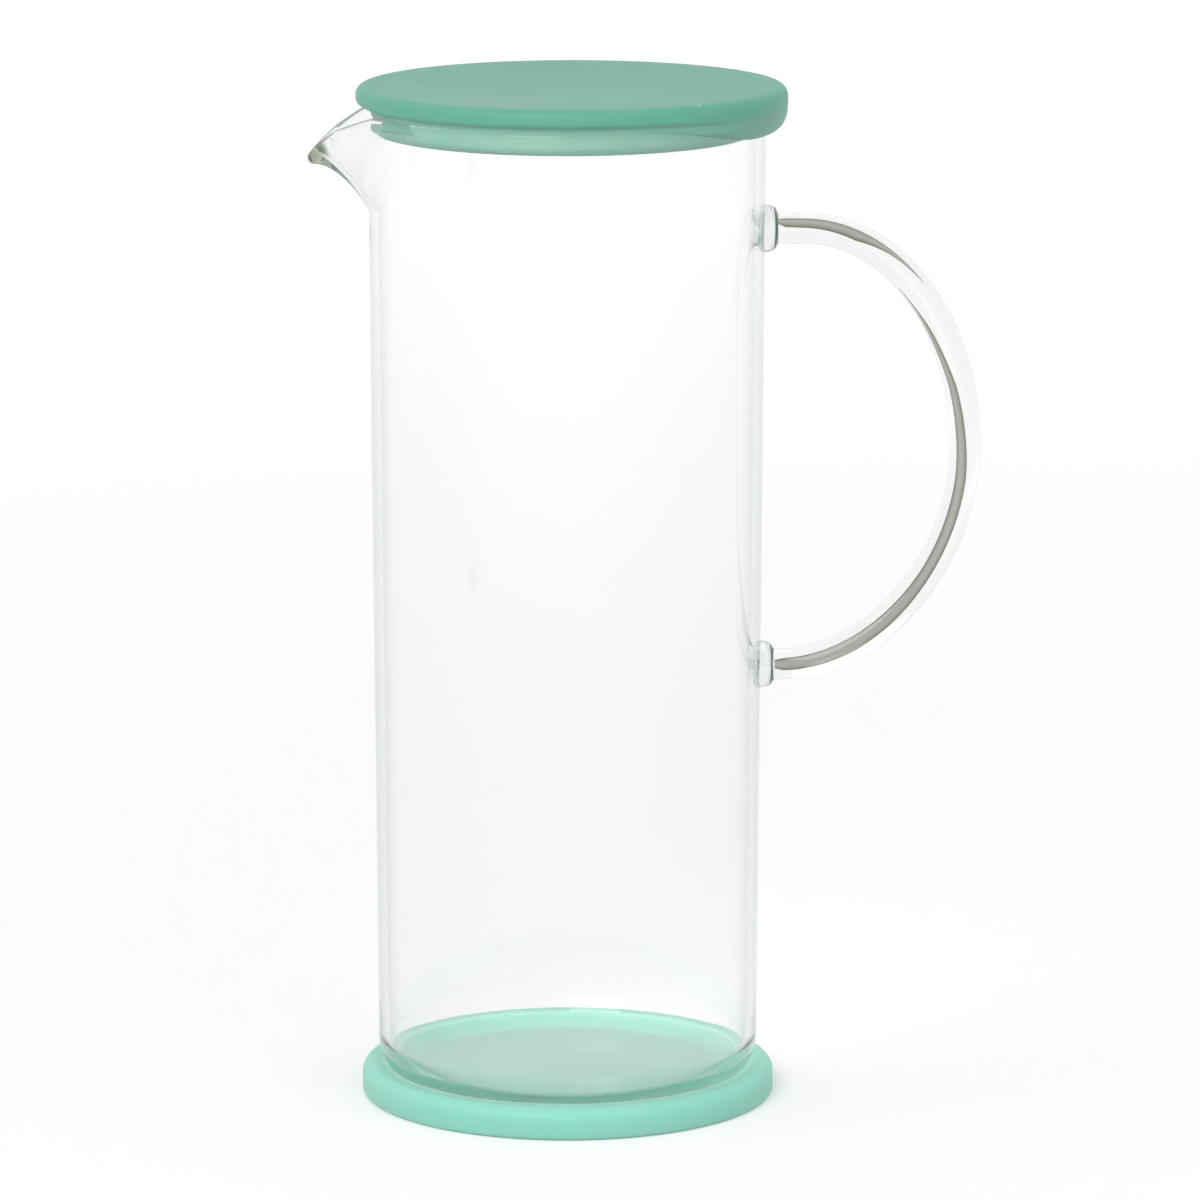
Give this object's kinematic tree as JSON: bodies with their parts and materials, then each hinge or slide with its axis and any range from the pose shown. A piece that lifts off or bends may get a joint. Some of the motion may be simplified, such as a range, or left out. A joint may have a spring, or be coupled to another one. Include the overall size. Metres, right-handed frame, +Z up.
{
  "type": "infusion pitcher",
  "caption": "Tall clear glass jug with a pulled spout and a welded glass rod handle, a soft plug lid with a thumb lip, and a soft cup-shaped base.",
  "frame": {"origin": "middle of the base's underside, on the jug's axis", "axes": "+Z up along the jug's axis, +X towards the handle, the spout is at -X"},
  "size_m": [0.1702, 0.1086, 0.2598],
  "materials": {
    "glass": "clear blown borosilicate, fire-polished edges",
    "lid_silicone": "satin moulded silicone, mint green",
    "base_silicone": "satin moulded silicone, mint green, a little translucent"
  },
  "bodies": {
    "base": {"base_coaster": "base_silicone"},
    "jug": {"glass_body": "glass", "glass_handle": "glass"},
    "lid": {"silicone_lid": "lid_silicone"}
  },
  "joints": [
    {"name": "jug_lift", "type": "slide", "parent": "base", "child": "jug", "axis": [0, 0, 1], "range_m": [0, 0.04]},
    {"name": "lid_lift", "type": "slide", "parent": "jug", "child": "lid", "axis": [0, 0, 1], "range_m": [0, 0.06]}
  ]
}
